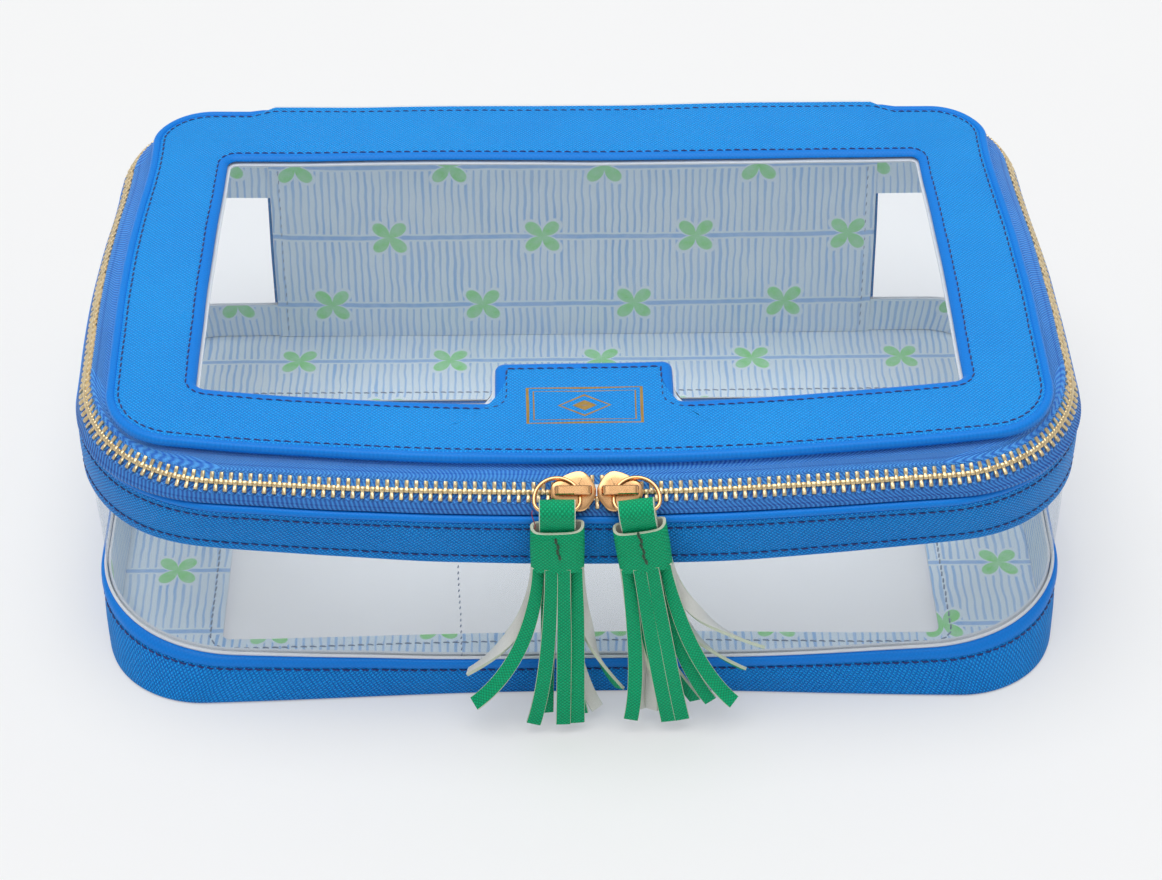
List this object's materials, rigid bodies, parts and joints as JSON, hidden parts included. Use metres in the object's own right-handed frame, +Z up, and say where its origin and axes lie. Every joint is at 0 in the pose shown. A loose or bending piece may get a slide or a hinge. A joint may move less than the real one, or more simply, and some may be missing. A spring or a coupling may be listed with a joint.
{
  "type": "mahjong case",
  "caption": "Soft zip case with clear walls and lid window, leather-bound bands, a metal zip round the front and sides, tassel pulls and a hinged lid, for storing a mahjong tile set.",
  "frame": {"origin": "on the underside, below the middle of the overall box", "axes": "+X to the viewer's right along the front, +Y to the hinge side, +Z up"},
  "size_m": [0.302, 0.2072, 0.0913],
  "materials": {
    "leather": "satin",
    "clear_pvc": "gloss",
    "board": "matte",
    "lining": "matte",
    "padding": "matte",
    "zip_tape": "matte",
    "zip_metal": "polished",
    "slider_metal": "polished",
    "tassel_leather": "satin"
  },
  "bodies": {
    "tray": {"base_frame": "leather", "base_board": "board", "base_window": "clear_pvc", "base_lining": "lining", "lower_band": "leather", "lower_band_lining": "lining", "clear_wall": "clear_pvc", "upper_band": "leather", "upper_band_lining": "lining", "shoulder_piping": "leather", "back_panel": "leather", "back_padding": "padding", "back_lining": "lining", "lower_zip_tape": "zip_tape", "lower_zip_teeth": "zip_metal", "lower_end_stops": "zip_metal"},
    "lid": {"lid_frame": "leather", "lid_board": "board", "lid_window": "clear_pvc", "lid_lining": "lining", "lid_rim": "leather", "hinge_strip": "leather", "upper_zip_tape": "zip_tape", "upper_zip_teeth": "zip_metal", "upper_end_stops": "zip_metal"},
    "left_slider_body": {"left_slider": "slider_metal", "left_bridge": "slider_metal"},
    "left_ring_body": {"left_ring": "slider_metal"},
    "left_tassel_body": {"left_tassel_strap": "tassel_leather", "left_tassel_head": "tassel_leather", "left_tassel_strands": "tassel_leather"},
    "right_slider_body": {"right_slider": "slider_metal", "right_bridge": "slider_metal"},
    "right_ring_body": {"right_ring": "slider_metal"},
    "right_tassel_body": {"right_tassel_strap": "tassel_leather", "right_tassel_head": "tassel_leather", "right_tassel_strands": "tassel_leather"}
  },
  "joints": [
    {"name": "lid_hinge", "type": "hinge", "parent": "tray", "child": "lid", "pos_m": [0, 0.10281, 0.0845], "axis": [-1, 0, 0], "range_deg": [0, 115]},
    {"name": "left_slider_run", "type": "hinge", "parent": "tray", "child": "left_slider_body", "pos_m": [0, 0.85561, 0], "axis": [0, 0, -1], "range_deg": [0, 5.17], "deforming": ["lower_zip_teeth", "upper_zip_teeth"]},
    {"name": "left_ring_swing", "type": "hinge", "parent": "left_slider_body", "child": "left_ring_body", "pos_m": [-0.00166, -0.09388, 0.08645], "axis": [0.002, 0.7194, 0.6946], "range_deg": [0, 80]},
    {"name": "left_tassel_swing", "type": "hinge", "parent": "left_ring_body", "child": "left_tassel_body", "pos_m": [-0.00727, -0.09941, 0.08364], "axis": [-1, 0, 0], "range_deg": [0, 80]},
    {"name": "right_slider_run", "type": "hinge", "parent": "tray", "child": "right_slider_body", "pos_m": [0, 0.85561, 0], "axis": [0, 0, 1], "range_deg": [0, 4.69], "deforming": ["lower_zip_teeth", "upper_zip_teeth"]},
    {"name": "right_ring_swing", "type": "hinge", "parent": "right_slider_body", "child": "right_ring_body", "pos_m": [0.00968, -0.09383, 0.08645], "axis": [0.0081, -0.7197, -0.6943], "range_deg": [0, 80]},
    {"name": "right_tassel_swing", "type": "hinge", "parent": "right_ring_body", "child": "right_tassel_body", "pos_m": [0.01534, -0.09932, 0.08364], "axis": [-1, 0, 0], "range_deg": [0, 80]}
  ]
}
